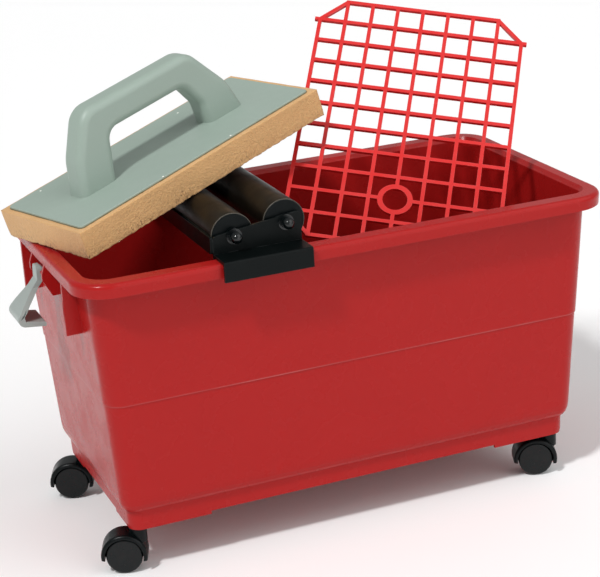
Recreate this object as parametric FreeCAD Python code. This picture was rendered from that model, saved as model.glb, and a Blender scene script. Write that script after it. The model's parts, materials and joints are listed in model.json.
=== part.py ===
"""Tiler's washing set: a castored tub, a two-roller wringer, a sponge float and a sediment grid.

Millimetres.  Origin on the floor under the middle of the tub.  X runs along the tub,
Y across it and Z up.  The long wall at -Y is called the front.
"""
import FreeCAD, Part
import math
import os

os.makedirs("parts", exist_ok=True)

V = FreeCAD.Vector
X_AXIS = V(1, 0, 0)
Y_AXIS = V(0, 1, 0)
Z_AXIS = V(0, 0, 1)

# ---------------------------------------------------------------- driving dimensions

# tub
RIM_HALF_LENGTH = 306.0
RIM_HALF_WIDTH = 170.5
RIM_TOP = 349.0
RIM_BAND = 15.0              # height of the rim's upright outer band
SIDE_OVERHANG = 20.5         # from a long wall out to the band
END_OVERHANG = 16.5          # from an end wall out to the band
RIM_CORNER = 41.0
RIM_SKIN = 3.0
WALL = 3.0
WALL_TAPER = 17.3            # how far each wall leans in from rim to foot
STEP_HEIGHT = 76.0           # underside of the body, top of the plinth
FOOT_HEIGHT = 53.0           # underside of the corner feet
PLINTH_BOTTOM = 57.0         # underside of the plinth between the feet
PLINTH_INSET = 6.5
LEDGE_HEIGHT = 204.0
LEDGE_STEP = 0.9
BODY_EDGE = 15.0             # round-over between wall and plinth
CORNER_TOP = 23.0
CORNER_FOOT = 17.0
MOUTH_CORNER = 27.0
RIM_SEAM = 345.0             # underside of the rim's top skin, where the rim node starts
FOOT_LENGTH = 92.0
FOOT_WIDTH = 60.0
FLOOR_THICK = 3.5
FLOOR_EDGE = 9.0             # how far the flat floor stops short of the inner walls
MOUTH_FLARE = 4.5            # extra width of the hollow at the very top
RIM_TOP_ROUND = 5.0
RIM_DRAFT = 0.8              # how much the rim band narrows towards its foot
PLINTH_SKIN = 4.5
PLINTH_DRAFT = 0.8
BOSS_RADIUS = 11.0
BUSH_RADIUS = 6.5
WEB_THICK = 3.0
WEB_DROP = 15.0              # depth of the webs under the body
WEBS_ACROSS = (-150.0, 0.0, 150.0)
WEBS_ALONG = (-45.0, 45.0)
GUSSET_Y = 86.0
GUSSET_THICK = 4.5
GUSSET_BOTTOM = 274.0
LUG_Y = 25.5                 # mid-planes of the two grip lugs on each end wall
LUG_THICK = 4.0
LUG_TIP = 4.4                # reach of a lug beyond the pin
LUG_BOTTOM = 300.0

# castors
STEM_X = 253.0
STEM_Y = 107.0
WHEEL_D = 40.0
WHEEL_WIDTH = 9.5
HOOD_WIDTH = 29.0
HOOD_RADIUS = 25.5
HOOD_ROUND = 3.5
NECK_RADIUS = 9.5
NECK_FOOT = 14.0             # above the wheel axis
HOOD_GAP = 1.2               # between a tread and the hood over it
HOOD_FRONT = 7.0             # how far the hood's lower edge sits below the axle, in front and behind
HOOD_BACK = 2.0
AXLE_COVER = 2.5             # thickness of the wheel face that hides the axle's end
HOOD_WEB = 5.0
TRAIL = 16.5
TRAIL_AZIMUTH = 159.0        # the castors trail behind a push towards +X
STEM_D = 8.0
STEM_TOP = 73.0
COLLAR_D = 20.0
COLLAR_THICK = 2.0
AXLE_D = 6.0
WHEEL_GAP = 0.6              # between the hood's web and a wheel
RUNNING_GAP = 0.05           # radial clearance of every running fit

# wringer
WRINGER_X0 = -154.2          # left and right edges of the hooked brackets
WRINGER_X1 = -55.5
SHEET = 3.0
SEAT_GAP = 0.3               # between a part and the surface it rests on
HOOK_FACE_Y = 177.0
HOOK_BOTTOM = 330.6
PLATE_Y = 145.5              # outer face of each upright plate
PLATE_BOTTOM = 330.0
PLATE_TOP_LEFT = 371.5
PLATE_TOP_RIGHT = 384.5
ROLLER_D = 46.5
ROLLER_WALL = 3.0
ROLLER_HALF = 139.6          # half length of the roller tube
ROLLERS = {"left": (-130.5, 368.6), "right": (-72.5, 374.2)}
CAP_LIP = 1.2                # end cap's lip beyond the tube's end
ROD_D = 8.0
NUT_D = 13.0
NUT_BARREL = 6.5
STRIP_BOTTOM = 353.0         # side strip on the brackets' left edges
STRIP_TOP = 371.0
RAIL_HEIGHT = 18.0
RAIL_TOP = 350.0
RAIL_LEG = 12.0

# float
SPONGE_LENGTH = 340.0
SPONGE_WIDTH = 158.0
SPONGE_THICK = 32.0
FLOAT_CENTRE = V(-147.9, 30.5, 425.4)    # middle of the seam between sponge and board
FLOAT_YAW = 18.2
FLOAT_NOSE_UP = 14.8
FLOAT_ROLL = -2.0
BOARD_INSET = 7.0
BOARD_THICK = 2.5
BOARD_CORNER = 5.0
HANDLE_WIDTH = 32.0
HANDLE_ROUND = 9.0
HANDLE_TOP = 89.0            # top of the grip above the seam
HANDLE_GAP_TOP = 55.0        # underside of the grip above the seam

# grid
GRID_CENTRE = V(139.2, 4.6, 415.4)
GRID_TURN = -17.7            # about Z
GRID_LEAN = -48.9            # top tips towards +Y
GRID_SPIN = 14.4             # in its own plane
GRID_PITCH = 29.9
GRID_COLUMNS = 8
GRID_ROWS = 11
GRID_BAR = 4.4
GRID_THICK = 4.0
GRID_NUB = 4.0
GRID_RING_OUTER = 20.0
GRID_RING_INNER = 14.0

# end grip
GRIP_PIVOT = (-304.5, 322.0)
GRIP_WIDTH = 44.0
GRIP_NECK_WIDTH = 18.0
GRIP_TOP = 7.5               # top of the neck above the pin
GRIP_TOP_ROUND = 6.0
GRIP_HEEL_ROUND = 8.0
GRIP_KNUCKLE = 4.6
GRIP_PIN_D = 4.0
GRIP_RECESS = 2.5


# ---------------------------------------------------------------- helpers

def save(shape, node):
    """Write one node's solids to its own STEP file."""
    shape.exportStep("parts/" + node + ".step")


def rounded_rectangle(half_x, half_y, radius, z):
    """A closed wire: a rectangle with arc corners, centred on the Z axis."""
    wire_edges = []
    turn = math.sqrt(0.5) * radius
    corners = [(half_x, half_y, 1, 1), (-half_x, half_y, -1, 1),
               (-half_x, -half_y, -1, -1), (half_x, -half_y, 1, -1)]
    starts = []
    for cx, cy, sx, sy in corners:
        ox = cx - sx * radius
        oy = cy - sy * radius
        middle = V(ox + sx * turn, oy + sy * turn, z)
        if sx * sy > 0:
            first = V(cx, oy, z)
            last = V(ox, cy, z)
        else:
            first = V(ox, cy, z)
            last = V(cx, oy, z)
        starts.append((first, middle, last))
    for i in range(4):
        first, middle, last = starts[i]
        wire_edges.append(Part.Arc(first, middle, last).toShape())
        wire_edges.append(Part.LineSegment(last, starts[(i + 1) % 4][0]).toShape())
    return Part.Wire(wire_edges)


def loft(sections):
    """A solid through rounded rectangles given as (half_x, half_y, radius, z)."""
    wires = [rounded_rectangle(*section) for section in sections]
    return Part.makeLoft(wires, True, True)


def cylinder(radius, height, base, axis):
    return Part.makeCylinder(radius, height, base, axis)


def box(x0, x1, y0, y1, z0, z1):
    return Part.makeBox(x1 - x0, y1 - y0, z1 - z0, V(x0, y0, z0))


def polygon_prism(points, direction):
    """A flat polygon of vectors, pushed along a vector."""
    face = Part.Face(Part.makePolygon(points + [points[0]]))
    return face.extrude(direction)


def mirrored_x(shape):
    return shape.mirror(V(0, 0, 0), X_AXIS)


def mirrored_y(shape):
    return shape.mirror(V(0, 0, 0), Y_AXIS)


def edges_where(shape, test):
    return [edge for edge in shape.Edges if test(edge)]


def upright_edges(shape):
    """The edges that run along Z."""
    def is_upright(edge):
        box_ = edge.BoundBox
        return box_.XLength < 1e-4 and box_.YLength < 1e-4
    return edges_where(shape, is_upright)


def edges_along_y(shape):
    def is_along(edge):
        box_ = edge.BoundBox
        return box_.XLength < 1e-4 and box_.ZLength < 1e-4
    return edges_where(shape, is_along)


# ---------------------------------------------------------------- tub

def castor_corners():
    """Name and stem place of each castor."""
    return {"front_left": (-STEM_X, -STEM_Y), "rear_left": (-STEM_X, STEM_Y),
            "front_right": (STEM_X, -STEM_Y), "rear_right": (STEM_X, STEM_Y)}


def wall_half(height, offset=0.0):
    """Half length, half width and corner radius of the wall's outer face at a height."""
    share = (height - STEP_HEIGHT) / (RIM_TOP - STEP_HEIGHT)
    lean = WALL_TAPER * (1.0 - share)
    half_x = RIM_HALF_LENGTH - END_OVERHANG - lean
    half_y = RIM_HALF_WIDTH - SIDE_OVERHANG - lean
    corner = CORNER_FOOT + (CORNER_TOP - CORNER_FOOT) * share
    return half_x + offset, half_y + offset, corner + offset, height


def make_lug(start_y):
    """One grip lug on the right end wall, bored for the hinge pin."""
    pivot_x, pivot_z = -GRIP_PIVOT[0], GRIP_PIVOT[1]
    inner = wall_half(LUG_BOTTOM)[0] - WALL / 2
    profile = [(inner, LUG_BOTTOM), (pivot_x - 5.0, LUG_BOTTOM), (pivot_x + LUG_TIP, pivot_z - 4.0),
               (pivot_x + LUG_TIP, pivot_z + 3.0), (pivot_x - 3.0, RIM_TOP - RIM_SKIN),
               (inner, RIM_TOP - RIM_SKIN)]
    lug = polygon_prism([V(x, start_y, z) for x, z in profile], V(0, LUG_THICK, 0))
    return lug.cut(cylinder(GRIP_PIN_D / 2, LUG_THICK, V(pivot_x, start_y, pivot_z), Y_AXIS))


def make_tub():
    """One moulding: leaning walls, rolled rim, plinth with four feet, gussets and lugs."""
    lower = loft([wall_half(STEP_HEIGHT + BODY_EDGE), wall_half(LEDGE_HEIGHT)])
    upper = loft([wall_half(LEDGE_HEIGHT, LEDGE_STEP), wall_half(RIM_TOP - 2.0, LEDGE_STEP)])
    foot_x, foot_y, foot_r, _ = wall_half(STEP_HEIGHT)
    plinth_x = foot_x - PLINTH_INSET
    plinth_y = foot_y - PLINTH_INSET
    plinth_r = foot_r - 3.0
    shoulder = []
    for step in range(5):
        angle = math.radians(90.0 * step / 4)
        drop = BODY_EDGE * math.sin(angle)
        inset = PLINTH_INSET * (1.0 - math.cos(angle))
        half_x, half_y, corner, height = wall_half(STEP_HEIGHT + BODY_EDGE - drop, -inset)
        shoulder.append((half_x, half_y, corner, height))
    rounded = loft(shoulder[::-1])
    low_x = plinth_x - PLINTH_DRAFT
    low_y = plinth_y - PLINTH_DRAFT
    plinth = loft([(low_x, low_y, plinth_r, PLINTH_BOTTOM), (plinth_x, plinth_y, plinth_r, STEP_HEIGHT)])
    feet_block = loft([(low_x - PLINTH_DRAFT / 2, low_y - PLINTH_DRAFT / 2, plinth_r, FOOT_HEIGHT),
                       (low_x, low_y, plinth_r, PLINTH_BOTTOM)])
    gap_x = plinth_x - FOOT_LENGTH
    gap_y = plinth_y - FOOT_WIDTH
    feet_block = feet_block.cut(box(-gap_x, gap_x, -400, 400, 0, PLINTH_BOTTOM))
    feet_block = feet_block.cut(box(-400, 400, -gap_y, gap_y, 0, PLINTH_BOTTOM))
    rim = loft([(RIM_HALF_LENGTH - RIM_DRAFT, RIM_HALF_WIDTH - RIM_DRAFT, RIM_CORNER, RIM_TOP - RIM_BAND),
                (RIM_HALF_LENGTH, RIM_HALF_WIDTH, RIM_CORNER, RIM_TOP)])
    top_edges = edges_where(rim, lambda e: abs(e.BoundBox.ZMin - RIM_TOP) < 1e-4
                            and abs(e.BoundBox.ZMax - RIM_TOP) < 1e-4)
    rim = rim.makeFillet(RIM_TOP_ROUND, top_edges)
    channel = loft([(RIM_HALF_LENGTH - RIM_SKIN - RIM_DRAFT, RIM_HALF_WIDTH - RIM_SKIN - RIM_DRAFT,
                     RIM_CORNER - RIM_SKIN, RIM_TOP - RIM_BAND - 1.0),
                    (RIM_HALF_LENGTH - RIM_SKIN, RIM_HALF_WIDTH - RIM_SKIN,
                     RIM_CORNER - RIM_SKIN, RIM_TOP - RIM_SKIN - 1.0)])
    rim = rim.cut(channel)
    body = lower.fuse([upper, rounded, plinth, feet_block, rim])

    # gussets and grip lugs under the rim on both end walls
    ribs = []
    inner = wall_half(GUSSET_BOTTOM)[0] - WALL / 2
    for rib_y in (-GUSSET_Y, GUSSET_Y):
        gusset = box(inner, RIM_HALF_LENGTH - RIM_SKIN + 0.5, rib_y - GUSSET_THICK / 2,
                     rib_y + GUSSET_THICK / 2, GUSSET_BOTTOM, RIM_TOP - RIM_SKIN)
        ribs += [gusset, mirrored_x(gusset)]
    for lug_y in (-LUG_Y, LUG_Y):
        lug = make_lug(lug_y - LUG_THICK / 2)
        ribs += [lug, mirrored_x(lug)]
    body = body.fuse(ribs)

    # the hollow inside
    floor_top = STEP_HEIGHT + FLOOR_THICK
    half_x, half_y, corner, _ = wall_half(floor_top, -WALL)
    floor_ring = (half_x - FLOOR_EDGE, half_y - FLOOR_EDGE, corner - WALL - 1.0, floor_top)
    inner_low = wall_half(floor_top + BODY_EDGE, -WALL)
    inner_ledge = wall_half(LEDGE_HEIGHT, -WALL)
    inner_top = wall_half(RIM_TOP - 5.0, -WALL)
    mouth_x, mouth_y, _, mouth_z = wall_half(RIM_TOP + 1.0, MOUTH_FLARE - WALL)
    mouth = (mouth_x, mouth_y, MOUTH_CORNER, mouth_z)
    hollow = loft([floor_ring, inner_low]).fuse([loft([inner_low, inner_ledge]),
                                                 loft([inner_ledge, inner_top]),
                                                 loft([inner_top, mouth])])
    body = body.cut(hollow)

    # the plinth is a skirt, open from below, with a boss for each castor stem
    inside_x = plinth_x - PLINTH_SKIN
    inside_y = plinth_y - PLINTH_SKIN
    inside_r = plinth_r - PLINTH_SKIN + 1.0
    under = loft([(inside_x, inside_y, inside_r, FOOT_HEIGHT - 1.0),
                  (inside_x, inside_y, inside_r, STEP_HEIGHT)])
    kept = []
    stem_holes = []
    for stem_x, stem_y in castor_corners().values():
        foot = V(stem_x, stem_y, FOOT_HEIGHT)
        kept.append(cylinder(BOSS_RADIUS, STEP_HEIGHT - FOOT_HEIGHT, foot, Z_AXIS))
        stem_holes.append(cylinder(BUSH_RADIUS, STEM_TOP - FOOT_HEIGHT + 1.0, foot - Z_AXIS, Z_AXIS))
    web = WEB_THICK / 2
    for x in WEBS_ACROSS:
        kept.append(box(x - web, x + web, -inside_y - 2, inside_y + 2, STEP_HEIGHT - WEB_DROP, STEP_HEIGHT))
    for y in WEBS_ALONG:
        kept.append(box(-inside_x - 2, inside_x + 2, y - web, y + web, STEP_HEIGHT - WEB_DROP, STEP_HEIGHT))
    under = under.cut(kept[0].fuse(kept[1:]))
    body = body.cut(under)
    body = body.cut(stem_holes)
    return body.removeSplitter()


def save_tub():
    """The moulding as three touching nodes: plinth below the step, walls and floor, rim on top."""
    whole = make_tub()
    far = 2 * RIM_HALF_LENGTH
    low = box(-far, far, -far, far, 0, STEP_HEIGHT)
    column = loft([wall_half(LEDGE_HEIGHT, LEDGE_STEP), wall_half(RIM_SEAM, LEDGE_STEP)])
    high = box(-far, far, -far, far, RIM_TOP - RIM_BAND, far).cut(column)
    upper = whole.cut(low)
    save(whole.common(low).removeSplitter(), "tub_plinth")
    save(upper.common(high).removeSplitter(), "tub_rim")
    save(upper.cut(high).removeSplitter(), "tub")


# ---------------------------------------------------------------- castors

def make_housing():
    """A rounded hood over both wheels with a web between them.  Wheel centre at the origin."""
    top = FOOT_HEIGHT - COLLAR_THICK - 0.4 - WHEEL_D / 2
    half = HOOD_WIDTH / 2
    hood = cylinder(HOOD_RADIUS, HOOD_WIDTH, V(0, -half, 0), Y_AXIS)
    hood = hood.makeFillet(HOOD_ROUND, hood.Edges[:1] + hood.Edges[2:])
    neck = cylinder(NECK_RADIUS, top - NECK_FOOT, V(TRAIL, 0, NECK_FOOT), Z_AXIS)
    neck = neck.makeFillet(2.0, edges_where(neck, lambda e: e.BoundBox.ZMin > top - 1e-3))
    hood = hood.fuse(neck)
    reach = 40.0
    below = polygon_prism([V(-reach, -half - 5, -HOOD_BACK), V(reach, -half - 5, -HOOD_FRONT),
                           V(reach, -half - 5, -reach), V(-reach, -half - 5, -reach)],
                          V(0, HOOD_WIDTH + 10, 0))
    hood = hood.cut(below)
    wheel_gap = WHEEL_D / 2 + HOOD_GAP
    for start in (HOOD_WEB / 2, -half - 1.0):
        length = half - HOOD_WEB / 2 + 1.0
        hood = hood.cut(cylinder(wheel_gap, length, V(0, start, 0), Y_AXIS))
    hub = cylinder(7.0, HOOD_WEB, V(0, -HOOD_WEB / 2, 0), Y_AXIS)
    hood = hood.fuse(hub)
    hood = hood.cut(cylinder(AXLE_D / 2, 80, V(0, -40, 0), Y_AXIS))
    hood = hood.cut(cylinder(STEM_D / 2 + RUNNING_GAP, 11.0, V(TRAIL, 0, top - 10.0), Z_AXIS))
    return hood.removeSplitter()


def make_wheel():
    """The disc wheel on the rear side of the web, with a rounded tread and a closed outer face."""
    inner = HOOD_WEB / 2 + WHEEL_GAP
    wheel = cylinder(WHEEL_D / 2, WHEEL_WIDTH, V(0, inner, 0), Y_AXIS)
    for face_y, radius in ((inner + WHEEL_WIDTH, 2.2), (inner, 1.0)):
        rim = edges_where(wheel, lambda e: abs(e.BoundBox.YMax - face_y) < 1e-4
                          and abs(e.BoundBox.YMin - face_y) < 1e-4)
        wheel = wheel.makeFillet(radius, rim)
    bore = cylinder(AXLE_D / 2 + RUNNING_GAP, WHEEL_WIDTH - AXLE_COVER, V(0, inner, 0), Y_AXIS)
    return wheel.cut(bore)


def placed_castor(shape, stem_x, stem_y):
    """Turn a castor part from its own frame to the trail direction under its stem."""
    heading = math.radians(TRAIL_AZIMUTH)
    centre = V(stem_x, stem_y, WHEEL_D / 2) + V(math.cos(heading), math.sin(heading), 0) * TRAIL
    moved = shape.copy()
    moved.rotate(V(0, 0, 0), Z_AXIS, TRAIL_AZIMUTH - 180.0)
    moved.translate(centre)
    return moved


def make_castors():
    housing = make_housing()
    wheel = make_wheel()
    axle_half = HOOD_WEB / 2 + WHEEL_GAP + WHEEL_WIDTH - AXLE_COVER - 0.2
    axle = cylinder(AXLE_D / 2, 2 * axle_half, V(0, -axle_half, 0), Y_AXIS)
    for corner, (stem_x, stem_y) in castor_corners().items():
        prefix = "castor_" + corner + "_"
        save(placed_castor(housing, stem_x, stem_y), prefix + "housing")
        save(placed_castor(axle, stem_x, stem_y), prefix + "axle")
        save(placed_castor(mirrored_y(wheel), stem_x, stem_y), prefix + "wheel_a")
        save(placed_castor(wheel, stem_x, stem_y), prefix + "wheel_b")
        stem_foot = FOOT_HEIGHT - COLLAR_THICK - 9.0
        stem = cylinder(STEM_D / 2, STEM_TOP - 1.0 - stem_foot, V(stem_x, stem_y, stem_foot), Z_AXIS)
        stem = stem.fuse(cylinder(9.0, 1.0, V(stem_x, stem_y, FOOT_HEIGHT - COLLAR_THICK), Z_AXIS))
        save(stem.removeSplitter(), prefix + "stem")
        sleeve = cylinder(BUSH_RADIUS, STEM_TOP - FOOT_HEIGHT, V(stem_x, stem_y, FOOT_HEIGHT), Z_AXIS)
        flange = cylinder(COLLAR_D / 2, 1.0, V(stem_x, stem_y, FOOT_HEIGHT - 1.0), Z_AXIS)
        bush = sleeve.fuse(flange)
        bush = bush.cut(cylinder(STEM_D / 2, 60, V(stem_x, stem_y, FOOT_HEIGHT - 20), Z_AXIS))
        save(bush.removeSplitter(), prefix + "bush")


# ---------------------------------------------------------------- end grips

def grip_outline():
    """The hooked strap's profile in (x, z): upright neck, slanting arm, foot turned to the wall."""
    px, pz = GRIP_PIVOT
    return [(px + 1.0, pz + 4.0), (px - 0.5, pz + GRIP_TOP), (px - 5.5, pz + GRIP_TOP),
            (px - 6.0, pz - 8.0), (px - 26.5, pz - 33.0), (px - 40.0, pz - 52.5),
            (px - 4.0, pz - 56.5), (px - 4.0, pz - 51.5), (px - 26.0, pz - 48.0),
            (px - 27.0, pz - 43.0), (px - 19.5, pz - 33.0), (px - 0.5, pz - 10.0)]


def make_grip():
    """A hooked strap hinged at its neck, narrow at the neck and as wide as a hand grip below."""
    px, pz = GRIP_PIVOT
    half = GRIP_WIDTH / 2
    neck = GRIP_NECK_WIDTH / 2
    outline = grip_outline()
    strap = polygon_prism([V(x, -half, z) for x, z in outline], V(0, GRIP_WIDTH, 0))
    heel_x, heel_z = outline[5]
    at_heel = edges_where(strap, lambda e: e.BoundBox.XLength < 1e-4 and e.BoundBox.ZLength < 1e-4
                          and abs(e.BoundBox.XMin - heel_x) < 0.01 and abs(e.BoundBox.ZMin - heel_z) < 0.01)
    strap = strap.makeFillet(GRIP_HEEL_ROUND, at_heel)
    sharp = edges_where(strap, lambda e: e.BoundBox.XLength < 1e-4 and e.BoundBox.ZLength < 1e-4
                        and e.BoundBox.XMin > heel_x + 2 * GRIP_HEEL_ROUND)
    strap = strap.makeFillet(1.5, sharp)
    knuckle = cylinder(GRIP_KNUCKLE, GRIP_NECK_WIDTH, V(px, -neck, pz), Y_AXIS)
    grip = strap.fuse(knuckle)
    reach = 40.0
    beside = [(neck - GRIP_TOP_ROUND, pz + reach)]
    for step in range(5):
        angle = math.radians(90.0 - 22.5 * step)
        beside.append((neck - GRIP_TOP_ROUND + GRIP_TOP_ROUND * math.cos(angle),
                       pz + GRIP_TOP - GRIP_TOP_ROUND + GRIP_TOP_ROUND * math.sin(angle)))
    beside += [(neck, pz - 16.0), (half, pz - 40.0), (half + 5.0, pz - 40.0), (half + 5.0, pz + reach)]
    spare = polygon_prism([V(px - reach, y, z) for y, z in beside], V(2 * reach, 0, 0))
    grip = grip.cut([spare, mirrored_y(spare)]).removeSplitter()
    hollow = polygon_prism([V(px - 22.5, -half - 1, pz - 33.5), V(px - 31.5, -half - 1, pz - 45.5),
                            V(px - 28.5, -half - 1, pz - 44.0), V(px - 20.5, -half - 1, pz - 34.0)],
                           V(0, GRIP_RECESS + 1, 0))
    grip = grip.cut([hollow, mirrored_y(hollow)])
    bore = cylinder(GRIP_PIN_D / 2 + RUNNING_GAP, GRIP_WIDTH + 2, V(px, -half - 1, pz), Y_AXIS)
    return grip.cut(bore).removeSplitter()


def make_grip_pin():
    """The hinge pin, flush with the lugs' outer faces."""
    px, pz = GRIP_PIVOT
    reach = LUG_Y + LUG_THICK / 2
    return cylinder(GRIP_PIN_D / 2, 2 * reach, V(px, -reach, pz), Y_AXIS)


def make_end_grips():
    grip = make_grip()
    pin = make_grip_pin()
    save(grip, "end_grip_left")
    save(mirrored_x(grip), "end_grip_right")
    save(pin, "end_grip_pin_left")
    save(mirrored_x(pin), "end_grip_pin_right")


# ---------------------------------------------------------------- wringer

def make_bracket():
    """The front bracket: one folded sheet that hooks over the rim and stands up inside it."""
    seat = RIM_TOP + SEAT_GAP
    inner = PLATE_Y - SHEET
    hook = box(WRINGER_X0, WRINGER_X1, -HOOK_FACE_Y, -HOOK_FACE_Y + SHEET, HOOK_BOTTOM, seat + SHEET)
    flange = box(WRINGER_X0, WRINGER_X1, -HOOK_FACE_Y, -inner, seat, seat + SHEET)
    plate = polygon_prism([V(WRINGER_X0, -PLATE_Y, PLATE_BOTTOM), V(WRINGER_X1, -PLATE_Y, PLATE_BOTTOM),
                           V(WRINGER_X1, -PLATE_Y, PLATE_TOP_RIGHT),
                           V(WRINGER_X0, -PLATE_Y, PLATE_TOP_LEFT)], V(0, SHEET, 0))
    tops = edges_where(plate, lambda e: e.BoundBox.YLength > SHEET - 0.01
                       and e.BoundBox.XLength < 1e-4 and e.BoundBox.ZMin > seat)
    plate = plate.makeFillet(5.0, tops)
    bracket = hook.fuse([flange, plate]).removeSplitter()
    outer_fold = edges_where(bracket, lambda e: e.BoundBox.XLength > 90 and e.BoundBox.YLength < 1e-4
                             and abs(e.BoundBox.YMin + HOOK_FACE_Y) < 1e-4
                             and abs(e.BoundBox.ZMin - seat - SHEET) < 1e-4)
    bracket = bracket.makeFillet(2.0, outer_fold)
    for axis_x, axis_z in ROLLERS.values():
        bracket = bracket.cut(cylinder(ROD_D / 2, 20, V(axis_x, -PLATE_Y - 10, axis_z), Y_AXIS))
    return bracket


def make_rail():
    """An angle rail that ties the two brackets together under the right roller."""
    half = PLATE_Y - SHEET
    foot = RAIL_TOP - RAIL_HEIGHT
    upright = box(WRINGER_X1 - SHEET, WRINGER_X1, -half, half, foot, RAIL_TOP)
    leg = box(WRINGER_X1 - RAIL_LEG, WRINGER_X1, -half, half, foot, foot + SHEET)
    return upright.fuse(leg).removeSplitter()


def make_strip():
    """A flat strip on the left edges of both bracket plates, beside the left roller."""
    strip = box(WRINGER_X0 - SHEET, WRINGER_X0, -PLATE_Y, PLATE_Y, STRIP_BOTTOM, STRIP_TOP)
    return strip.makeFillet(2.0, edges_where(strip, lambda e: e.BoundBox.XLength > SHEET - 0.01))


def make_roller_tube(axis_x, axis_z):
    tube = cylinder(ROLLER_D / 2, 2 * ROLLER_HALF, V(axis_x, -ROLLER_HALF, axis_z), Y_AXIS)
    bore = cylinder(ROLLER_D / 2 - ROLLER_WALL, 2 * ROLLER_HALF + 2,
                    V(axis_x, -ROLLER_HALF - 1, axis_z), Y_AXIS)
    return tube.cut(bore)


def make_end_cap(axis_x, axis_z):
    """The front end cap: a plug inside the tube, a lip over most of its end and a bearing bore."""
    plug_depth = 12.0
    outside = -ROLLER_HALF - CAP_LIP
    plug = cylinder(ROLLER_D / 2 - ROLLER_WALL, plug_depth, V(axis_x, -ROLLER_HALF, axis_z), Y_AXIS)
    lip = cylinder(ROLLER_D / 2 - 1.0, CAP_LIP, V(axis_x, outside, axis_z), Y_AXIS)
    cap = plug.fuse(lip)
    bore = cylinder(ROD_D / 2 + RUNNING_GAP, plug_depth + 10, V(axis_x, outside - 5, axis_z), Y_AXIS)
    return cap.cut(bore).removeSplitter()


def make_dome_nut(axis_x, axis_z):
    """A cap nut on the outer face of the front plate: collar, short barrel and dome."""
    washer_face = -PLATE_Y - 1.2
    barrel = cylinder(NUT_D / 2, NUT_BARREL, V(axis_x, washer_face - NUT_BARREL, axis_z), Y_AXIS)
    dome = Part.makeSphere(NUT_D / 2 - 0.3, V(axis_x, washer_face - NUT_BARREL, axis_z))
    nut = barrel.fuse(dome)
    rod_hole = cylinder(ROD_D / 2, 20, V(axis_x, washer_face - 4.5, axis_z), Y_AXIS)
    behind = box(axis_x - 20, axis_x + 20, washer_face, washer_face + 20, axis_z - 20, axis_z + 20)
    return nut.cut([rod_hole, behind]).removeSplitter()


def ring(outer, inner, thick, base):
    return cylinder(outer, thick, base, Y_AXIS).cut(cylinder(inner, thick + 2, base - Y_AXIS, Y_AXIS))


def make_wringer():
    bracket = make_bracket()
    save(bracket, "wringer_bracket_front")
    save(mirrored_y(bracket), "wringer_bracket_rear")
    save(make_strip(), "wringer_strip_left")
    save(make_rail(), "wringer_rail_right")
    nuts = []
    washers = []
    spacers = []
    for side, (axis_x, axis_z) in ROLLERS.items():
        save(make_roller_tube(axis_x, axis_z), "roller_" + side + "_tube")
        cap = make_end_cap(axis_x, axis_z)
        save(cap, "roller_" + side + "_cap_front")
        save(mirrored_y(cap), "roller_" + side + "_cap_rear")
        reach = PLATE_Y + 1.2 + 4.5
        save(cylinder(ROD_D / 2, 2 * reach, V(axis_x, -reach, axis_z), Y_AXIS), "roller_" + side + "_rod")
        nut = make_dome_nut(axis_x, axis_z)
        nuts += [nut, mirrored_y(nut)]
        washer = ring(NUT_D / 2 + 2.0, ROD_D / 2, 1.2, V(axis_x, -PLATE_Y - 1.2, axis_z))
        washers += [washer, mirrored_y(washer)]
        gap = PLATE_Y - SHEET - ROLLER_HALF - CAP_LIP
        spacer = ring(8.0, ROD_D / 2, gap - 0.3, V(axis_x, -PLATE_Y + SHEET, axis_z))
        spacers += [spacer, mirrored_y(spacer)]
    save(Part.Compound(nuts), "wringer_dome_nuts")
    save(Part.Compound(washers), "wringer_washers")
    save(Part.Compound(spacers), "wringer_spacers")


# ---------------------------------------------------------------- float

def float_placement():
    """From the float's own frame (x along it, z up out of the board) to where it lies."""
    yaw = FreeCAD.Rotation(Z_AXIS, FLOAT_YAW)
    nose = FreeCAD.Rotation(Y_AXIS, -FLOAT_NOSE_UP)
    roll = FreeCAD.Rotation(X_AXIS, FLOAT_ROLL)
    return FreeCAD.Placement(FLOAT_CENTRE, yaw.multiply(nose).multiply(roll))


def make_board():
    half_x = SPONGE_LENGTH / 2 - BOARD_INSET
    half_y = SPONGE_WIDTH / 2 - BOARD_INSET
    board = loft([(half_x, half_y, BOARD_CORNER, 0.0), (half_x, half_y, BOARD_CORNER, BOARD_THICK)])
    top = edges_where(board, lambda e: e.BoundBox.ZMin > BOARD_THICK - 1e-3)
    return board.makeFillet(0.8, top)


def make_float_handle():
    """A closed-loop grip: two broad feet, a sloping rear leg and a thick rounded bar."""
    half = HANDLE_WIDTH / 2
    base = BOARD_THICK
    outer = [(-119.0, base), (-110.0, 41.0), (-84.0, HANDLE_TOP), (65.0, HANDLE_TOP),
             (104.0, 34.0), (113.0, base)]
    inner = [(-72.0, base - 5), (-59.0, HANDLE_GAP_TOP), (45.0, HANDLE_GAP_TOP),
             (61.0, 26.0), (62.0, base - 5)]
    body = polygon_prism([V(x, -half, z) for x, z in outer], V(0, HANDLE_WIDTH, 0))
    rounds = {(-110.0, 41.0): 45.0, (-84.0, HANDLE_TOP): 26.0, (65.0, HANDLE_TOP): 26.0,
              (104.0, 34.0): 45.0}
    body = rounded_corners(body, rounds)
    hole = polygon_prism([V(x, -half - 5, z) for x, z in inner], V(0, HANDLE_WIDTH + 10, 0))
    hole = rounded_corners(hole, {(-59.0, HANDLE_GAP_TOP): 15.0, (45.0, HANDLE_GAP_TOP): 16.0,
                                  (61.0, 26.0): 18.0})
    handle = body.cut(hole)
    side_edges = edges_where(handle, lambda e: e.BoundBox.YLength < 1e-4
                             and e.BoundBox.ZMax > base + 0.5)
    handle = handle.makeFillet(HANDLE_ROUND, side_edges)
    return handle


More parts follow.
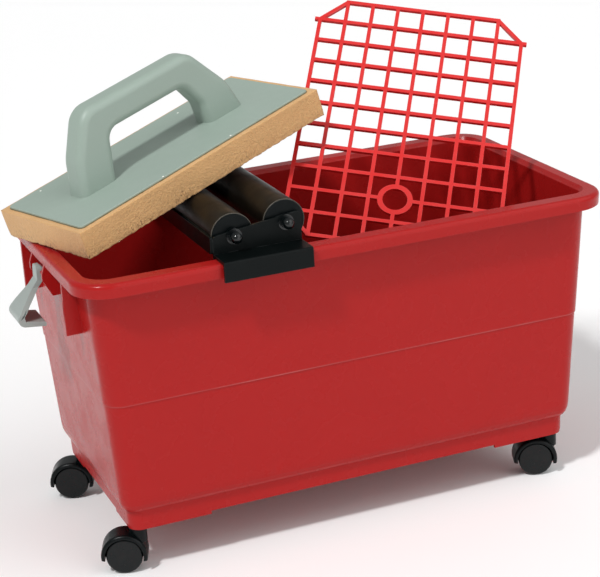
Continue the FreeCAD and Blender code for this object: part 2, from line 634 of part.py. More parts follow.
def rounded_corners(prism, radii):
    """Fillet a prism's edges along Y, picked by their (x, z) place."""
    for (x, z), radius in radii.items():
        picked = edges_where(prism, lambda e: e.BoundBox.XLength < 1e-4 and e.BoundBox.ZLength < 1e-4
                             and abs(e.BoundBox.XMin - x) < 0.01 and abs(e.BoundBox.ZMin - z) < 0.01)
        prism = prism.makeFillet(radius, picked)
    return prism


def make_float():
    where = float_placement().toMatrix()
    half_x = SPONGE_LENGTH / 2
    half_y = SPONGE_WIDTH / 2
    sponge = box(-half_x, half_x, -half_y, half_y, -SPONGE_THICK, 0)
    sponge = sponge.makeFillet(1.5, upright_edges(sponge))
    board = make_board()
    handle = make_float_handle()
    screws = []
    holes = []
    for x in (-108.0, -84.0, 76.0, 100.0):
        head = Part.makeCone(4.0, 2.0, 2.2, V(x, 0, 0), Z_AXIS)
        shank = cylinder(2.0, 16.0, V(x, 0, 0), Z_AXIS)
        screws.append(head.fuse(shank).removeSplitter())
        holes.append(head.fuse(shank))
    board = board.cut(holes)
    handle = handle.cut(holes)
    save(sponge.transformed(where), "float_sponge")
    save(board.transformed(where), "float_board")
    save(handle.transformed(where), "float_handle")
    save(Part.Compound(screws).transformed(where), "float_handle_screws")


# ---------------------------------------------------------------- grid

def make_grid():
    """A flat moulded grid with cut corners and a finger ring, upright in its own XZ plane."""
    half_x = GRID_COLUMNS * GRID_PITCH / 2
    half_z = GRID_ROWS * GRID_PITCH / 2
    bar = GRID_BAR / 2
    thick = GRID_THICK / 2
    pieces = []
    for i in range(GRID_COLUMNS + 1):
        x = i * GRID_PITCH - half_x
        cut_in = GRID_PITCH if i in (0, GRID_COLUMNS) else 0.0
        pieces.append(box(x - bar, x + bar, -thick, thick, -half_z + cut_in - bar, half_z - cut_in + bar))
    for j in range(GRID_ROWS + 1):
        z = half_z - j * GRID_PITCH
        cut_in = GRID_PITCH if j in (0, GRID_ROWS) else 0.0
        nub = GRID_NUB if j == 1 else 0.0
        pieces.append(box(-half_x + cut_in - bar - nub, half_x - cut_in + bar + nub,
                          -thick, thick, z - bar, z + bar))
    for side_x in (-1, 1):
        for side_z in (-1, 1):
            start = V(side_x * half_x, -thick, side_z * (half_z - GRID_PITCH))
            end = V(side_x * (half_x - GRID_PITCH), -thick, side_z * half_z)
            along = (end - start).normalize()
            across = V(along.z, 0, -along.x) * bar
            pieces.append(polygon_prism([start - across, end - across, end + across, start + across],
                                        V(0, GRID_THICK, 0)))
    ring_z = half_z - 9 * GRID_PITCH
    outer = cylinder(GRID_RING_OUTER, GRID_THICK, V(0, -thick, ring_z), Y_AXIS)
    opening = cylinder(GRID_RING_INNER, GRID_THICK + 2, V(0, -thick - 1, ring_z), Y_AXIS)
    grid = pieces[0].fuse(pieces[1:] + [outer]).cut(opening).removeSplitter()
    turn = FreeCAD.Rotation(Z_AXIS, GRID_TURN)
    lean = FreeCAD.Rotation(X_AXIS, GRID_LEAN)
    spin = FreeCAD.Rotation(Y_AXIS, GRID_SPIN)
    place = FreeCAD.Placement(GRID_CENTRE, turn.multiply(lean).multiply(spin))
    return grid.transformed(place.toMatrix())


def main():
    save_tub()
    make_castors()
    make_end_grips()
    make_wringer()
    make_float()
    save(make_grid(), "sediment_grid")


main()
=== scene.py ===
"""Looks for the tiler's washing set: moulded tub, wringer, foam float, grid, grips and castors.

Metres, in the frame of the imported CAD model.
"""
import json
import math

import bpy
from mathutils import Matrix, Vector, noise


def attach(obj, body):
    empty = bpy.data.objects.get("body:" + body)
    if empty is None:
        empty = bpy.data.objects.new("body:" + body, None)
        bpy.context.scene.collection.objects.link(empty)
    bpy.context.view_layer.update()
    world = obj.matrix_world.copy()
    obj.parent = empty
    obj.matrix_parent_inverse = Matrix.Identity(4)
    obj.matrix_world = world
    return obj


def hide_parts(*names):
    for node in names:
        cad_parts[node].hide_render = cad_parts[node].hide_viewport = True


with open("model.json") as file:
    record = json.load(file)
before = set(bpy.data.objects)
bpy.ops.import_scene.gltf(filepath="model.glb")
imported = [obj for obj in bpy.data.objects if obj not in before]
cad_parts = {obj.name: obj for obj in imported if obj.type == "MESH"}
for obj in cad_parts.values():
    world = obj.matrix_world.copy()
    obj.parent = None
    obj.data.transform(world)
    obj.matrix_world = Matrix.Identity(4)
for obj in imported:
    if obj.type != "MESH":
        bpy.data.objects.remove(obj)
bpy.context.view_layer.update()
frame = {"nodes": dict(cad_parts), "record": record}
NODES = frame["nodes"]

# ---------------------------------------------------------------- sizes and places, as in the CAD

FLOAT_CENTRE = Vector((-0.1479, 0.0305, 0.4254))
FLOAT_YAW = math.radians(18.2)
FLOAT_NOSE_UP = math.radians(14.8)
FLOAT_ROLL = math.radians(-2.0)
SPONGE_LENGTH = 0.340
SPONGE_WIDTH = 0.158
SPONGE_THICK = 0.032
BOARD_THICK = 0.0025
BOARD_INSET = 0.007
LEDGE_HEIGHT = 0.2044
ROLLER_D = 0.0465
ROLLER_HALF = 0.1396
ROLLERS = {"left": (-0.1305, 0.3686), "right": (-0.0725, 0.3742)}

# ---------------------------------------------------------------- colours (linear)

TUB_RED = (0.37, 0.0105, 0.0100)
GRID_RED = (0.64, 0.013, 0.012)
BOARD_GREY = (0.30, 0.375, 0.325)
GRIP_GREY = (0.33, 0.375, 0.355)
FOAM = (0.66, 0.385, 0.165)
# darkened copy of the foam colour, painted as the shade inside the pores
FOAM_PORE_SHADE = (0.22, 0.11, 0.045)
# dark olive of the painted shadow strip under the float board's edge
EDGE_SHADOW_OLIVE = (0.13, 0.11, 0.045)
SATIN_BLACK = (0.0012, 0.0026, 0.0026)
CASTOR_BLACK = (0.0015, 0.0030, 0.0034)
ROLLER_BROWN = (0.0045, 0.0034, 0.0022)
TUBE_EDGE = (0.12, 0.11, 0.09)
ZINC = (0.55, 0.55, 0.56)
PIP_WHITE = (0.75, 0.78, 0.72)
FLOOR_WHITE = (0.93, 0.93, 0.93)


# ---------------------------------------------------------------- node helpers

class Shader:
    """A small wrapper for building a node material around one Principled BSDF."""

    def __init__(self, name, colour, roughness, metallic=0.0):
        self.material = bpy.data.materials.new(name)
        self.material.use_nodes = True
        self.tree = self.material.node_tree
        self.bsdf = self.tree.nodes["Principled BSDF"]
        self.bsdf.inputs["Base Color"].default_value = (*colour, 1.0)
        self.bsdf.inputs["Roughness"].default_value = roughness
        self.bsdf.inputs["Metallic"].default_value = metallic
        self.colour = colour
        self.colour_out = None
        self.height_out = None
        self.coords = self.node("ShaderNodeTexCoord").outputs["Object"]

    def node(self, kind, **settings):
        made = self.tree.nodes.new(kind)
        for key, value in settings.items():
            setattr(made, key, value)
        return made

    def link(self, source, target):
        self.tree.links.new(source, target)

    def noise(self, scale, detail=4.0, stretch=None):
        """Noise in 0..1 with features about 1/scale metres across, optionally stretched along axes."""
        made = self.node("ShaderNodeTexNoise")
        made.inputs["Scale"].default_value = scale
        made.inputs["Detail"].default_value = detail
        coords = self.coords
        if stretch:
            mapping = self.node("ShaderNodeMapping")
            mapping.inputs["Scale"].default_value = stretch
            self.link(self.coords, mapping.inputs["Vector"])
            coords = mapping.outputs["Vector"]
        self.link(coords, made.inputs["Vector"])
        return made.outputs["Fac"]

    def voronoi(self, scale):
        """Distance to the nearest cell centre, with cells about 1/scale metres across."""
        made = self.node("ShaderNodeTexVoronoi")
        made.inputs["Scale"].default_value = scale
        self.link(self.coords, made.inputs["Vector"])
        return made.outputs["Distance"]

    def remap(self, value, low, high, to_low=0.0, to_high=1.0):
        made = self.node("ShaderNodeMapRange")
        made.inputs["From Min"].default_value = low
        made.inputs["From Max"].default_value = high
        made.inputs["To Min"].default_value = to_low
        made.inputs["To Max"].default_value = to_high
        self.link(value, made.inputs["Value"])
        return made.outputs["Result"]

    def math(self, operation, first, second):
        made = self.node("ShaderNodeMath", operation=operation)
        for socket, value in zip(made.inputs, (first, second)):
            if isinstance(value, (int, float)):
                socket.default_value = value
            else:
                self.link(value, socket)
        return made.outputs["Value"]

    def blend_colour(self, factor, colour):
        """Mix the surface colour so far towards another colour by a factor."""
        made = self.node("ShaderNodeMix", data_type="RGBA")
        self.link(factor, made.inputs["Factor"])
        if self.colour_out:
            self.link(self.colour_out, made.inputs["A"])
        else:
            made.inputs["A"].default_value = (*self.colour, 1.0)
        made.inputs["B"].default_value = (*colour, 1.0)
        self.colour_out = made.outputs["Result"]
        self.link(self.colour_out, self.bsdf.inputs["Base Color"])

    def vary_roughness(self, value, low, high):
        self.link(self.remap(value, 0.3, 0.7, low, high), self.bsdf.inputs["Roughness"])

    def bump(self, height, strength, distance):
        """Add a bump on top of any earlier bump."""
        made = self.node("ShaderNodeBump")
        made.inputs["Strength"].default_value = strength
        made.inputs["Distance"].default_value = distance
        self.link(height, made.inputs["Height"])
        if self.height_out:
            self.link(self.height_out, made.inputs["Normal"])
        self.height_out = made.outputs["Normal"]
        self.link(self.height_out, self.bsdf.inputs["Normal"])

    def edge_wear(self, colour, amount, radius):
        """Lighten exposed edges, broken up by noise."""
        geometry = self.node("ShaderNodeNewGeometry")
        bevel = self.node("ShaderNodeBevel", samples=4)
        bevel.inputs["Radius"].default_value = radius
        dot = self.node("ShaderNodeVectorMath", operation="DOT_PRODUCT")
        self.link(geometry.outputs["Normal"], dot.inputs[0])
        self.link(bevel.outputs["Normal"], dot.inputs[1])
        edge = self.remap(dot.outputs["Value"], 0.995, 0.90)
        broken = self.remap(self.noise(90.0), 0.42, 0.62)
        worn = self.math("MULTIPLY", self.math("MULTIPLY", edge, broken), amount)
        self.blend_colour(worn, colour)


def lighter(colour, share):
    return tuple(c + (1.0 - c) * share for c in colour)


def darker(colour, share):
    return tuple(c * (1.0 - share) for c in colour)


def moulded_plastic(name, colour, roughness, grain=0.00006, dirt=0.25, wear=0.12):
    """Injection-moulded plastic: fine grain, faint flow waves, soft blotches and scuffed edges."""
    shader = Shader(name, colour, roughness)
    cloudy = shader.noise(9.0, 5.0)
    shader.blend_colour(shader.remap(cloudy, 0.35, 0.75, 0.0, dirt), darker(colour, 0.25))
    scratches = shader.noise(110.0, 3.0, (0.12, 0.12, 2.5))
    shader.blend_colour(shader.remap(scratches, 0.70, 0.80, 0.0, wear), lighter(colour, 0.25))
    shader.edge_wear(lighter(colour, 0.5), wear, 0.0012)
    shader.vary_roughness(shader.noise(28.0, 5.0), roughness * 0.8, roughness * 1.25)
    shader.bump(shader.noise(5.0, 2.0), 0.10, 0.0008)
    shader.bump(shader.noise(1400.0, 2.0), 0.5, grain)
    return shader


def tub_plastic():
    """Glossy red polypropylene: flow marks down the walls, hairlines and a painted highlight line along the
    ledge step.
    """
    shader = moulded_plastic("tub_red_plastic", TUB_RED, 0.26, 0.00003, 0.10, 0.05)
    split = shader.node("ShaderNodeSeparateXYZ")
    shader.link(shader.coords, split.inputs["Vector"])
    # a pale line at the ledge height, broken up by noise: painted highlight for the light caught by the
    # ledge step's edge
    off_ledge = shader.math("ABSOLUTE", shader.math("SUBTRACT", split.outputs["Z"], LEDGE_HEIGHT), 0.0)
    line = shader.remap(off_ledge, 0.0010, 0.0004)
    broken = shader.remap(shader.noise(12.0, 3.0), 0.30, 0.60, 0.35, 1.0)
    shader.blend_colour(shader.math("MULTIPLY", shader.math("MULTIPLY", line, broken), 0.35),
                        lighter(TUB_RED, 0.20))
    flow = shader.noise(14.0, 4.0, (1.0, 1.0, 0.12))
    shader.bump(flow, 0.06, 0.0004)
    hairlines = shader.noise(160.0, 3.0, (1.0, 1.0, 0.06))
    shader.bump(shader.remap(hairlines, 0.66, 0.74), 0.06, 0.0001)
    shader.bsdf.inputs["Specular IOR Level"].default_value = 0.18
    return shader.material


def grid_plastic():
    shader = moulded_plastic("grid_red_plastic", GRID_RED, 0.38, 0.00004, 0.15, 0.12)
    return shader.material


def float_plastic(name, colour, roughness):
    shader = moulded_plastic(name, colour, roughness, 0.00009, 0.18, 0.10)
    specks = shader.voronoi(260.0)
    shader.blend_colour(shader.remap(specks, 0.10, 0.05, 0.0, 0.22), lighter(colour, 0.5))
    return shader.material


def painted_steel():
    """Satin black powder coat: orange peel, dust and bright worn edges."""
    shader = Shader("satin_black_steel", SATIN_BLACK, 0.34)
    shader.blend_colour(shader.remap(shader.noise(30.0, 6.0), 0.52, 0.75, 0.0, 0.30), (0.005, 0.007, 0.007))
    shader.edge_wear((0.10, 0.11, 0.11), 0.35, 0.0010)
    shader.vary_roughness(shader.noise(22.0, 5.0), 0.26, 0.46)
    shader.bump(shader.noise(650.0, 3.0), 0.35, 0.00012)
    shader.bsdf.inputs["Specular IOR Level"].default_value = 0.13
    return shader.material


def black_plastic(name, roughness, shine):
    shader = Shader(name, CASTOR_BLACK, roughness)
    shader.blend_colour(shader.remap(shader.noise(60.0, 6.0), 0.50, 0.72, 0.0, 0.35), (0.006, 0.007, 0.008))
    shader.edge_wear((0.07, 0.075, 0.08), 0.4, 0.0008)
    shader.vary_roughness(shader.noise(70.0, 4.0), roughness * 0.75, roughness * 1.35)
    shader.bump(shader.noise(900.0, 2.0), 0.4, 0.00008)
    shader.bsdf.inputs["Specular IOR Level"].default_value = shine
    return shader.material


def wheel_plastic():
    """Castor wheel: black plastic with a dusty, scuffed running band."""
    shader = Shader("castor_wheel_plastic", CASTOR_BLACK, 0.32)
    dust = shader.noise(120.0, 6.0)
    shader.blend_colour(shader.remap(dust, 0.48, 0.72, 0.0, 0.5), (0.008, 0.008, 0.008))
    shader.edge_wear((0.07, 0.07, 0.07), 0.5, 0.0012)
    shader.vary_roughness(dust, 0.22, 0.45)
    shader.bump(shader.noise(500.0, 4.0), 0.30, 0.00012)
    shader.bsdf.inputs["Specular IOR Level"].default_value = 0.30
    return shader.material


def roller_plastic():
    """Dark brown-black roller tube with a soft sheen and fine turned lines round it."""
    shader = Shader("roller_plastic", ROLLER_BROWN, 0.36)
    streaks = shader.noise(60.0, 4.0, (1.0, 0.08, 1.0))
    shader.blend_colour(shader.remap(streaks, 0.45, 0.75, 0.0, 0.5), (0.011, 0.008, 0.006))
    shader.vary_roughness(shader.noise(40.0, 5.0), 0.28, 0.48)
    turned = shader.noise(300.0, 2.0, (0.05, 1.0, 0.05))
    shader.bump(turned, 0.25, 0.00012)
    shader.bsdf.inputs["Specular IOR Level"].default_value = 0.13
    return shader.material


def zinc_steel():
    shader = Shader("zinc_steel", ZINC, 0.35, 1.0)
    shader.blend_colour(shader.remap(shader.noise(200.0, 5.0), 0.45, 0.7, 0.0, 0.5), darker(ZINC, 0.35))
    shader.vary_roughness(shader.noise(150.0, 4.0), 0.25, 0.5)
    shader.bump(shader.noise(900.0, 2.0), 0.3, 0.00006)
    return shader.material


def foam():
    """Tan foam: open cells everywhere with painted shade in their hollows, and dark pores of painted shade
    that thicken towards the working face.
    """
    shader = Shader("float_foam", FOAM, 0.92)
    shader.bsdf.inputs["Subsurface Weight"].default_value = 0.06
    shader.bsdf.inputs["Subsurface Radius"].default_value = (0.004, 0.002, 0.001)
    shader.bsdf.inputs["Sheen Weight"].default_value = 0.15
    split = shader.node("ShaderNodeSeparateXYZ")
    shader.link(shader.coords, split.inputs["Vector"])
    depth = shader.remap(split.outputs["Z"], -0.006, -SPONGE_THICK)
    patches = shader.remap(shader.noise(26.0, 4.0), 0.38, 0.66)
    shader.blend_colour(shader.remap(shader.noise(18.0, 5.0), 0.35, 0.7, 0.0, 0.45), darker(FOAM, 0.22))
    # painted shade in the cell hollows: darker towards each cell centre, where the cell bump below is
    # lowest
    cells = shader.voronoi(620.0)
    shader.blend_colour(shader.remap(cells, 0.42, 0.10, 0.0, 0.35), darker(FOAM, 0.45))
    # pores painted darker as the shade inside them, stronger towards the working face and in patches
    pores = shader.remap(shader.noise(620.0, 2.0, (1.0, 1.0, 0.35)), 0.55, 0.63)
    low_down = shader.math("MULTIPLY", shader.remap(depth, 0.25, 0.9, 0.06, 1.0), patches)
    shader.blend_colour(shader.math("MULTIPLY", pores, low_down), FOAM_PORE_SHADE)
    shader.bump(shader.noise(120.0, 5.0), 0.5, 0.0008)
    shader.bump(cells, 0.55, 0.0006)
    shader.bump(shader.voronoi(330.0), 0.35, 0.0010)
    return shader.material


def board_edge_shadow_shader():
    """Dark olive painted shadow for the thin strip under the board's edge, slightly mottled."""
    shader = Shader("board_edge_shadow", EDGE_SHADOW_OLIVE, 0.55)
    shader.blend_colour(shader.remap(shader.noise(140.0), 0.4, 0.7, 0.0, 0.6), lighter(EDGE_SHADOW_OLIVE, 0.10))
    shader.bump(shader.noise(500.0), 0.5, 0.0003)
    return shader.material


def pip_plastic():
    shader = Shader("pip_plastic", PIP_WHITE, 0.35)
    shader.vary_roughness(shader.noise(400.0), 0.25, 0.45)
    shader.bump(shader.noise(900.0), 0.3, 0.0001)
    return shader.material


def roller_edge_plastic():
    shader = Shader("roller_edge_plastic", TUBE_EDGE, 0.4)
    shader.vary_roughness(shader.noise(200.0), 0.3, 0.5)
    shader.bump(shader.noise(800.0), 0.3, 0.0001)
    return shader.material


def floor_paint():
    shader = Shader("floor_paint", FLOOR_WHITE, 0.75)
    shader.bump(shader.noise(40.0, 3.0), 0.05, 0.0005)
    return shader.material


# ---------------------------------------------------------------- mesh helpers

def give(obj, material):
    obj.data.materials.clear()
    obj.data.materials.append(material)


def new_piece(name, vertices, faces, material):
    mesh = bpy.data.meshes.new(name)
    mesh.from_pydata([tuple(v) for v in vertices], [], faces)
    mesh.validate()
    mesh.update()
    piece = bpy.data.objects.new(name, mesh)
    bpy.context.scene.collection.objects.link(piece)
    mesh.materials.append(material)
    for polygon in mesh.polygons:
        polygon.use_smooth = True
    return piece


def revolved(profile, segments, centre):
    """Vertices and faces of a closed profile of (radius, along) points, turned about the Y axis."""
    vertices = []
    faces = []
    count = len(profile)
    for i in range(segments):
        angle = 2.0 * math.pi * i / segments
        for radius, along in profile:
            vertices.append(Vector((centre[0] + radius * math.cos(angle), centre[1] + along,
                                    centre[2] + radius * math.sin(angle))))
    for i in range(segments):
        following = (i + 1) % segments
        for j in range(count):
            k = (j + 1) % count
            faces.append((i * count + j, i * count + k, following * count + k, following * count + j))
    return vertices, faces


def float_matrix():
    """From the float's own frame to where it lies on the left roller."""
    yaw = Matrix.Rotation(FLOAT_YAW, 4, "Z")
    nose = Matrix.Rotation(-FLOAT_NOSE_UP, 4, "Y")
    roll = Matrix.Rotation(FLOAT_ROLL, 4, "X")
    return Matrix.Translation(FLOAT_CENTRE) @ yaw @ nose @ roll


# ---------------------------------------------------------------- foam block

FOAM_CELL = 0.0016           # spacing of the foam's surface mesh
FOAM_SWELL = 0.0005          # how far the foam waves in and out
PORE_DEPTH = 0.0016
EDGE_NIBBLE = 0.0012         # how much the lower edges are torn in
NIBBLE_BAND = 0.006          # how far from a lower edge the tearing reaches
PORE_BAND = 0.016            # height above the working face where the pores are deepest
PORE_RADIUS = 0.42           # in voronoi cells
ON_FACE = 1e-6


def foam_lattice():
    """Vertices and faces of a closed box whose six sides share one fine lattice."""
    counts = [max(2, round(size / FOAM_CELL)) for size in (SPONGE_LENGTH, SPONGE_WIDTH, SPONGE_THICK)]
    half = (SPONGE_LENGTH / 2, SPONGE_WIDTH / 2)
    index = {}
    vertices = []

    def vertex(i, j, k):
        if (i, j, k) not in index:
            index[(i, j, k)] = len(vertices)
            vertices.append(Vector((-half[0] + SPONGE_LENGTH * i / counts[0],
                                    -half[1] + SPONGE_WIDTH * j / counts[1],
                                    -SPONGE_THICK + SPONGE_THICK * k / counts[2])))
        return index[(i, j, k)]

    faces = []
    nx, ny, nz = counts
    for i in range(nx):
        for j in range(ny):
            faces.append((vertex(i, j, 0), vertex(i, j + 1, 0), vertex(i + 1, j + 1, 0),
                          vertex(i + 1, j, 0)))
            faces.append((vertex(i, j, nz), vertex(i + 1, j, nz), vertex(i + 1, j + 1, nz),
                          vertex(i, j + 1, nz)))
    for i in range(nx):
        for k in range(nz):
            faces.append((vertex(i, 0, k), vertex(i + 1, 0, k), vertex(i + 1, 0, k + 1),
                          vertex(i, 0, k + 1)))
            faces.append((vertex(i, ny, k), vertex(i, ny, k + 1), vertex(i + 1, ny, k + 1),
                          vertex(i + 1, ny, k)))
    for j in range(ny):
        for k in range(nz):
            faces.append((vertex(0, j, k), vertex(0, j, k + 1), vertex(0, j + 1, k + 1),
                          vertex(0, j + 1, k)))
            faces.append((vertex(nx, j, k), vertex(nx, j + 1, k), vertex(nx, j + 1, k + 1),
                          vertex(nx, j, k + 1)))
    return vertices, faces


def foam_surface(point):
    """Where a lattice point of the foam ends up once it is cut, worn and full of pores."""
    half_x = SPONGE_LENGTH / 2
    half_y = SPONGE_WIDTH / 2
    inward = Vector((0.0, 0.0, 0.0))
    near_x = half_x - abs(point.x)
    near_y = half_y - abs(point.y)
    near_z = point.z + SPONGE_THICK
    if near_x < ON_FACE:
        inward.x = -math.copysign(1.0, point.x)
    if near_y < ON_FACE:
        inward.y = -math.copysign(1.0, point.y)
    if near_z < ON_FACE:
        inward.z = 1.0
    if point.z > -ON_FACE:
        inward.z = -0.3
    if inward.length > 0:
        inward.normalize()
    wave = 0.5 + 0.5 * noise.noise(point * 38.0)
    distances, _ = noise.voronoi(point * 210.0)
    open_cell = noise.noise(point * 55.0 + Vector((7.0, 3.0, 1.0)))
    pore = max(0.0, PORE_RADIUS - distances[0]) / PORE_RADIUS
    pore *= max(0.0, min(1.0, 0.35 + 1.6 * open_cell))
    low = max(0.0, 1.0 - near_z / PORE_BAND)
    edge = min(near_x, near_y)
    nibble = 0.0
    if near_z < NIBBLE_BAND and edge < NIBBLE_BAND:
        torn = max(0.0, noise.noise(point * 150.0) + 0.35)
        nibble = EDGE_NIBBLE * torn * (1.0 - near_z / NIBBLE_BAND) * (1.0 - edge / NIBBLE_BAND)
    pull = FOAM_SWELL * wave + PORE_DEPTH * pore * (0.35 + 0.65 * low) + nibble
    moved = point + inward * pull
    if near_z < ON_FACE and inward.x == 0.0 and inward.y == 0.0:
        moved.z = point.z + FOAM_SWELL * wave + PORE_DEPTH * pore
    return moved


def make_foam(material):
    vertices, faces = foam_lattice()
    piece = new_piece("float_foam_block", [foam_surface(v) for v in vertices], faces, material)
    piece.matrix_world = float_matrix()
    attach(piece, "float")
    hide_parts("float_sponge")


# ---------------------------------------------------------------- painted shadow strip under the board's edge, and moulding pips

EDGE_SHADOW_OUT = 0.0009            # how far the painted shadow strip shows past the board's edge
EDGE_SHADOW_TOP = 0.0009
EDGE_SHADOW_FOOT = -0.0004
EDGE_SHADOW_TUCK = 0.0008           # how far it reaches in under the board
EDGE_SHADOW_STEP = 0.003
BOARD_CORNER = 0.005
PIP_PLACES = ((-0.124, 0.063), (0.071, 0.057), (-0.050, -0.0712), (0.047, -0.0712))
PIP_PROFILE = ((0.0, -0.0002), (0.0013, -0.0002), (0.0012, 0.0004), (0.0007, 0.0007), (0.0, 0.0008))
PIP_SEGMENTS = 16


def make_board_edge_shadow(material):
    """A thin dark strip round the board's lower edge, painted as the shadow under the board."""
    half_x = SPONGE_LENGTH / 2 - BOARD_INSET
    half_y = SPONGE_WIDTH / 2 - BOARD_INSET
    corner = BOARD_CORNER
    path = []
    for cx, cy, start in ((1, 1, 0), (-1, 1, 90), (-1, -1, 180), (1, -1, 270)):
        for step in range(7):
            angle = math.radians(start + 15 * step)
            path.append(((half_x - corner) * cx, (half_y - corner) * cy, math.cos(angle), math.sin(angle)))
    dense = []
    for i, (x0, y0, nx0, ny0) in enumerate(path):
        x1, y1, nx1, ny1 = path[(i + 1) % len(path)]
        steps = max(1, round(math.hypot(x1 - x0, y1 - y0) / EDGE_SHADOW_STEP))
        for k in range(steps):
            t = k / steps
            dense.append((x0 + (x1 - x0) * t, y0 + (y1 - y0) * t, nx0 + (nx1 - nx0) * t,
                          ny0 + (ny1 - ny0) * t))
    vertices = []
    faces = []
    tucked = corner - EDGE_SHADOW_TUCK
    for x, y, nx, ny in dense:
        base = Vector((x, y, 0.0))
        out = Vector((nx, ny, 0.0)).normalized()
        swell = EDGE_SHADOW_OUT * (0.75 + 0.5 * noise.noise(base * 60.0 + out))
        for reach, height in ((tucked, EDGE_SHADOW_FOOT), (corner + swell, EDGE_SHADOW_FOOT),
                              (corner + swell * 0.8, EDGE_SHADOW_TOP * 0.6), (tucked, EDGE_SHADOW_TOP)):
            vertices.append(base + out * reach + Vector((0.0, 0.0, height)))
    count = len(dense)
    for i in range(count):
        j = (i + 1) % count
        for k in range(4):
            m = (k + 1) % 4
            faces.append((i * 4 + k, j * 4 + k, j * 4 + m, i * 4 + m))
    piece = new_piece("float_board_edge_shadow", vertices, faces, material)
    piece.matrix_world = float_matrix()
    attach(piece, "float")


def make_pips(material):
    """Small pale moulding pips on the board, each a low rounded button."""
    count = len(PIP_PROFILE)
    vertices = []
    faces = []
    for px, py in PIP_PLACES:
        first = len(vertices)
        for i in range(PIP_SEGMENTS):
            angle = 2.0 * math.pi * i / PIP_SEGMENTS
            for radius, height in PIP_PROFILE:
                vertices.append(Vector((px + radius * math.cos(angle), py + radius * math.sin(angle),
                                        BOARD_THICK + height)))
        for i in range(PIP_SEGMENTS):
            this = first + i * count
            following = first + (i + 1) % PIP_SEGMENTS * count
            for k in range(count - 1):
                faces.append((this + k, following + k, following + k + 1, this + k + 1))
    piece = new_piece("float_board_pips", vertices, faces, material)
    piece.matrix_world = float_matrix()
    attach(piece, "float")


# ---------------------------------------------------------------- roller end rings

RING_WIDTH = 0.0010
RING_ROUND = 0.0003
RING_PROUD = 0.0001          # how far a ring stands out of its tube
RING_SEGMENTS = 96


def make_roller_edge(side, end, material):
    """A thin pale rounded ring on the end of a roller tube."""
    axis_x, axis_z = ROLLERS[side]
    outer = ROLLER_D / 2 + RING_PROUD
    inner = outer - RING_WIDTH
    face = ROLLER_HALF + 2 * RING_PROUD
    back = face - RING_WIDTH
    profile = [(outer, back), (outer - RING_ROUND, face), (inner + RING_ROUND, face), (inner, back)]
    facing = [(radius, end * along) for radius, along in profile]
    vertices, faces = revolved(facing, RING_SEGMENTS, (axis_x, 0.0, axis_z))
    name = "roller_%s_edge_%s" % (side, "front" if end < 0 else "rear")
    piece = new_piece(name, vertices, faces, material)
    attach(piece, "roller_" + side)


# ---------------------------------------------------------------- dress the CAD nodes

SMOOTH_BELOW = 32.0          # degrees between faces; sharper edges stay crisp


def smooth_by_angle(obj, degrees):
    for other in bpy.context.selected_objects:
        other.select_set(False)
    obj.select_set(True)
    bpy.context.view_layer.objects.active = obj
    bpy.ops.object.shade_smooth_by_angle(angle=math.radians(degrees))
    obj.select_set(False)


def dress():
    tub = tub_plastic()
    grid = grid_plastic()
    board = float_plastic("float_board_plastic", BOARD_GREY, 0.48)
    handle = float_plastic("float_handle_plastic", BOARD_GREY, 0.42)
    grip = float_plastic("end_grip_plastic", GRIP_GREY, 0.40)
    steel = painted_steel()
    castor = black_plastic("castor_plastic", 0.30, 0.18)
    wheel = wheel_plastic()
    caps = black_plastic("cap_plastic", 0.38, 0.13)
    nuts = black_plastic("dome_nut_plastic", 0.13, 0.50)
    roller = roller_plastic()
    zinc = zinc_steel()
    by_slot = {"red_tub": tub, "red_grid": grid, "grey_plastic": grip, "black_steel": steel,
               "black_plastic": castor, "black_wheel": wheel, "black_nut": nuts, "dark_roller": roller,
               "steel": zinc, "pale_grey_plastic": board, "sponge": board}
    slots = {entry["node"]: entry["material_slot"] for entry in frame["record"]["subparts"]}
    for name, node in NODES.items():
        give(node, by_slot[slots[name]])
        smooth_by_angle(node, SMOOTH_BELOW)
    give(NODES["float_handle"], handle)
    for side in ROLLERS:
        for end in ("front", "rear"):
            give(NODES["roller_%s_cap_%s" % (side, end)], caps)


# ---------------------------------------------------------------- camera, light and floor

CAMERA_AT = Vector((-0.71870, -1.86648, 0.93376))
CAMERA_YAW = math.radians(20.9)
CAMERA_PITCH = math.radians(-19.03)
CAMERA_ROLL = math.radians(-3.78)
CAMERA_LENS = 110.55
WORLD_LIGHT = 0.42
KEY_LIGHT = 1.95
SIDE_LIGHT = 0.85
FILL_LIGHT = 14.0
KEY_FROM = (-0.50, -0.34, 0.80)
KEY_SPREAD = 6.0             # degrees
SIDE_FROM = (0.55, -0.45, 0.72)
SIDE_SPREAD = 55.0
FILL_AT = (0.9, -3.0, 0.9)
FILL_TARGET = (0.0, 0.0, 0.25)
FILL_SIZE = (2.4, 1.6)
FLOOR_Z = -0.0006
FLOOR_HALF = 12.0


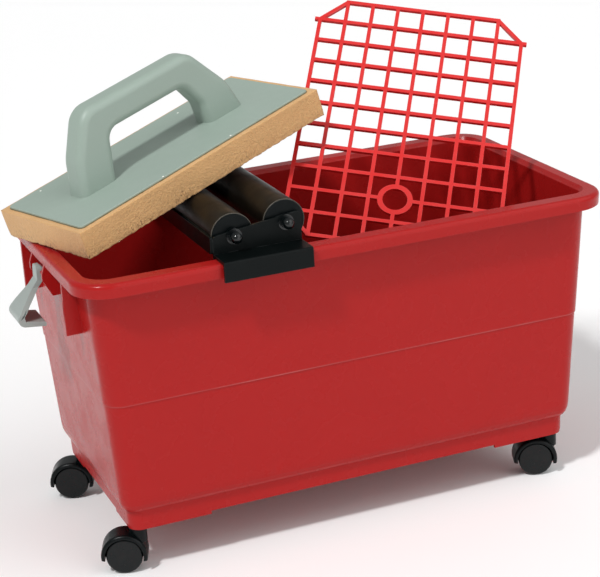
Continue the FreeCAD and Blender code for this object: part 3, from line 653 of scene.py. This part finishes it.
def make_camera():
    forward = Vector((math.sin(CAMERA_YAW) * math.cos(CAMERA_PITCH),
                      math.cos(CAMERA_YAW) * math.cos(CAMERA_PITCH), math.sin(CAMERA_PITCH)))
    right = Vector((math.cos(CAMERA_YAW), -math.sin(CAMERA_YAW), 0.0))
    up = right.cross(forward)
    turned_right = right * math.cos(CAMERA_ROLL) + up * math.sin(CAMERA_ROLL)
    turned_up = up * math.cos(CAMERA_ROLL) - right * math.sin(CAMERA_ROLL)
    data = bpy.data.cameras.new("camera")
    data.lens = CAMERA_LENS
    data.sensor_width = 36.0
    data.sensor_fit = "HORIZONTAL"
    data.clip_start = 0.05
    camera = bpy.data.objects.new("camera", data)
    rotation = Matrix((turned_right, turned_up, -forward)).transposed().to_4x4()
    camera.matrix_world = Matrix.Translation(CAMERA_AT) @ rotation
    bpy.context.scene.collection.objects.link(camera)
    bpy.context.scene.camera = camera


def area_light(name, at, target, size, power):
    data = bpy.data.lights.new(name, "AREA")
    data.shape = "RECTANGLE"
    data.size = size[0]
    data.size_y = size[1]
    data.energy = power
    light = bpy.data.objects.new(name, data)
    light.location = at
    light.rotation_euler = (Vector(target) - Vector(at)).to_track_quat("-Z", "Y").to_euler()
    bpy.context.scene.collection.objects.link(light)


def sun_light(name, towards_sun, strength, spread):
    """A light from far away; a wider spread in degrees makes softer shadows."""
    data = bpy.data.lights.new(name, "SUN")
    data.energy = strength
    data.angle = math.radians(spread)
    light = bpy.data.objects.new(name, data)
    light.rotation_euler = Vector(towards_sun).to_track_quat("Z", "Y").to_euler()
    bpy.context.scene.collection.objects.link(light)


def make_studio():
    bpy.context.scene.view_settings.view_transform = "Standard"
    world = bpy.data.worlds.new("studio")
    world.use_nodes = True
    background = world.node_tree.nodes["Background"]
    background.inputs["Color"].default_value = (1.0, 1.0, 1.0, 1.0)
    background.inputs["Strength"].default_value = WORLD_LIGHT
    bpy.context.scene.world = world
    sun_light("key", KEY_FROM, KEY_LIGHT, KEY_SPREAD)
    sun_light("side", SIDE_FROM, SIDE_LIGHT, SIDE_SPREAD)
    area_light("fill", FILL_AT, FILL_TARGET, FILL_SIZE, FILL_LIGHT)
    half = FLOOR_HALF
    vertices = [(-half, -half, FLOOR_Z), (half, -half, FLOOR_Z), (half, half, FLOOR_Z),
                (-half, half, FLOOR_Z)]
    mesh = bpy.data.meshes.new("floor")
    mesh.from_pydata(vertices, [], [(0, 1, 2, 3)])
    floor = bpy.data.objects.new("floor", mesh)
    bpy.context.scene.collection.objects.link(floor)
    mesh.materials.append(floor_paint())


dress()
make_foam(foam())
# thin dark strip of painted shadow round the board's lower edge
make_board_edge_shadow(board_edge_shadow_shader())
make_pips(pip_plastic())
ring_material = roller_edge_plastic()
for side in ROLLERS:
    for end in (-1, 1):
        make_roller_edge(side, end, ring_material)
make_camera()
make_studio()
